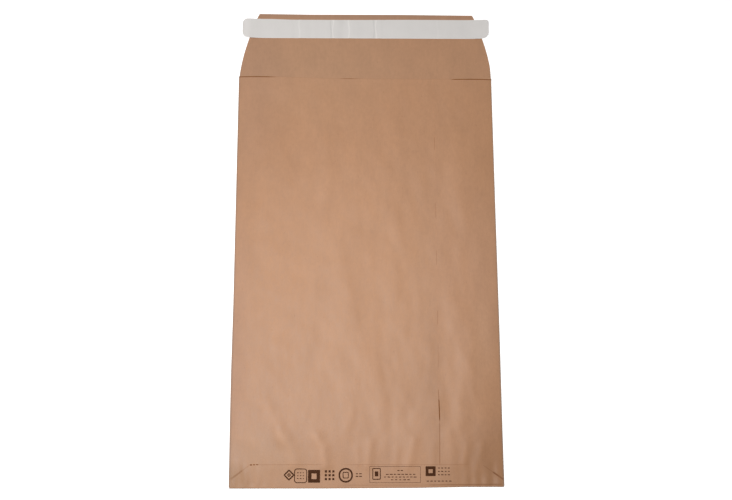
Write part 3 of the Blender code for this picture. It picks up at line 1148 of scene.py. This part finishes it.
def closedLine(shape, corners, width):  # a printed line along a closed run of points
    points = []
    for start, end in zip(corners, corners[1:] + corners[:1]):
        count = max(1, round(math.dist(start, end) / ink["cell"]))
        points += list(np.linspace(start, end, count, endpoint=False))
    places = np.array(points)
    run = np.roll(places, -1, 0) - np.roll(places, 1, 0)
    across = np.stack([run[:, 1], -run[:, 0]], 1) / np.hypot(run[:, 0], run[:, 1])[:, None]
    rows = []
    for share in (-0.5, 0.5):
        edge = (places + across * width * share) / 1000
        edge = np.vstack([edge, edge[:1]])
        rows.append(shape.row(edge[:, 0], edge[:, 1], 0.0, 1.0))
    shape.skin(rows)


def solidPatch(shape, left, right, bottom, top, radius):
    rows = []
    middle, half = (bottom + top) / 2, (top - bottom) / 2
    for along in half * np.sin(spread(-math.pi / 2, math.pi / 2, ink["patchRows"])):
        over = max(abs(along) - (half - radius), 0.0)
        inset = radius - math.sqrt(max(radius**2 - over**2, 0.0))
        x = spread(left + inset, right - inset, round((right - left) / ink["cell"]))
        rows.append(shape.row(x / 1000, (middle + along) / 1000, 0.0, 1.0))
    shape.skin(rows)


def hollowPatch(shape, left, right, bottom, top, border):
    solidPatch(shape, left, right, top - border, top, ink["hollowRadius"])
    solidPatch(shape, left, right, bottom, bottom + border, ink["hollowRadius"])
    solidPatch(shape, left, left + border, bottom + border, top - border, 0.0)
    solidPatch(shape, right - border, right, bottom + border, top - border, 0.0)


def pressed(wire, geometry):  # drops every point onto the finished bag, from above
    x = wire.add("ShaderNodeSeparateXYZ", None, {0: wire.add("GeometryNodeInputPosition")})
    above = wire.add("ShaderNodeCombineXYZ", None, {0: x, 1: x.other(1), 2: ink["dropFrom"]})
    target = wire.add("GeometryNodeObjectInfo", None, {0: bag}, "Geometry")
    sockets = {"Target Geometry": target, "Source Position": above}
    sockets.update({"Ray Direction": (0.0, 0.0, -1.0), "Ray Length": ink["dropReach"]})
    hit = wire.add("GeometryNodeRaycast", None, sockets, "Hit Position")
    lifted = {0: hit, 1: (0.0, 0.0, ink["lift"])}
    lifted = wire.add("ShaderNodeVectorMath", {"operation": "ADD"}, lifted)
    return wire.add("GeometryNodeSetPosition", None, {0: geometry, "Position": lifted})


def pressTree(material):
    tree, wire, given = newTree("pressOnBag", {})
    finishTree(wire, pressed(wire, given), material)
    return tree


def repeatTree(material):  # rows and columns of one small mark, pressed on the bag
    tree, wire, given = newTree("repeatedMarks", {**repeatInputs, "Seed": "Int"})
    columns, rows = given.other("Columns"), given.other("Rows")
    spanX = (columns - 1.0) * given.other("Across Pitch") * 0.001
    spanY = (rows - 1.0) * given.other("Along Pitch") * 0.001
    places = wire.add("GeometryNodeMeshGrid", None, {0: spanX, 1: spanY, 2: columns, 3: rows})
    width, height = given.other("Width") * 0.001, given.other("Height") * 0.001
    stampSize = {0: width, 1: height, 2: ink["stampPoints"][0], 3: ink["stampPoints"][1]}
    stamp = wire.add("GeometryNodeMeshGrid", None, stampSize)
    least = 1.0 - given.other("Unevenness")
    uneven = wire.add("FunctionNodeRandomValue", {"data_type": "FLOAT"}, {2: least, 3: 1.0}, 1)
    wire.tree.links.new(given.other("Seed").socket, uneven.socket.node.inputs["Seed"])
    scale = wire.add("ShaderNodeCombineXYZ", None, {0: uneven, 1: 1.0, 2: 1.0})
    stamped = {"Points": places, "Instance": stamp, "Scale": scale}
    marks = wire.add("GeometryNodeInstanceOnPoints", None, stamped)
    marks = wire.add("GeometryNodeRealizeInstances", None, {0: marks})
    moveX = given.other("Across") * 0.001 + spanX * 0.5
    moveY = given.other("Along") * 0.001 + spanY * 0.5 - overallLength / 2
    offset = wire.add("ShaderNodeCombineXYZ", None, {0: moveX, 1: moveY})
    marks = wire.add("GeometryNodeSetPosition", None, {0: marks, "Offset": offset})
    finishTree(wire, pressed(wire, marks), material)
    return tree


def inkMaterial():
    material, wire = newMaterial("brownInk")
    noises = addNoises(wire, objectPlace(wire), inkNoises)
    worn = noises["fibres"].between(*ink["wornFrom"]) * ink["wornShare"]
    sockets = {
        "Base Color": worn.blendColor(ink["color"], ink["worn"]),
        "Roughness": varied(ink["roughness"], noises, ink["matts"]),
        "Specular IOR Level": ink["specular"],
    }
    finishPaint(wire, sockets)
    return material


def printMarks():
    material = inkMaterial()
    shape = SheetMesh()
    for left, right, bottom, top, radius, width in markFrames:
        closedLine(shape, roundedOutline(left, right, bottom, top, radius), width)
    for patch in markPatches:
        solidPatch(shape, *patch)
    for hollow in markHollows:
        hollowPatch(shape, *hollow)
    for x, s, half, width in markDiamonds:
        closedLine(shape, [(x + half, s), (x, s + half), (x - half, s), (x, s - half)], width)
    rough = shape.object("handMarks")
    addTree(rough, pressTree(material), {})
    parts = [bake(rough, "handMarksDone")]
    tree = repeatTree(material)
    for seed, values in enumerate(markRepeats, ink["firstSeed"]):
        rough = addObject("repeatRough", bpy.data.meshes.new("repeatRough"))
        addTree(rough, tree, {**dict(zip(repeatInputs, values)), "Seed": seed})
        parts.append(bake(rough, "repeatDone"))
    joined = bmesh.new()
    for part in parts:
        joined.from_mesh(part.data)
        bpy.data.objects.remove(part)
    flat = bpy.data.meshes.new("footPrint")
    joined.to_mesh(flat)
    joined.free()
    flat.materials.append(material)
    rough = addObject("footPrintRough", flat)
    wall = rough.modifiers.new("film", "SOLIDIFY")
    wall.thickness = ink["film"]
    wall.offset = 0.0
    done = bake(rough, "footPrint")
    finishShading(done)
    return done


marks = printMarks()
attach(marks, "root")
print("marks printed:", len(marks.data.polygons), "faces")
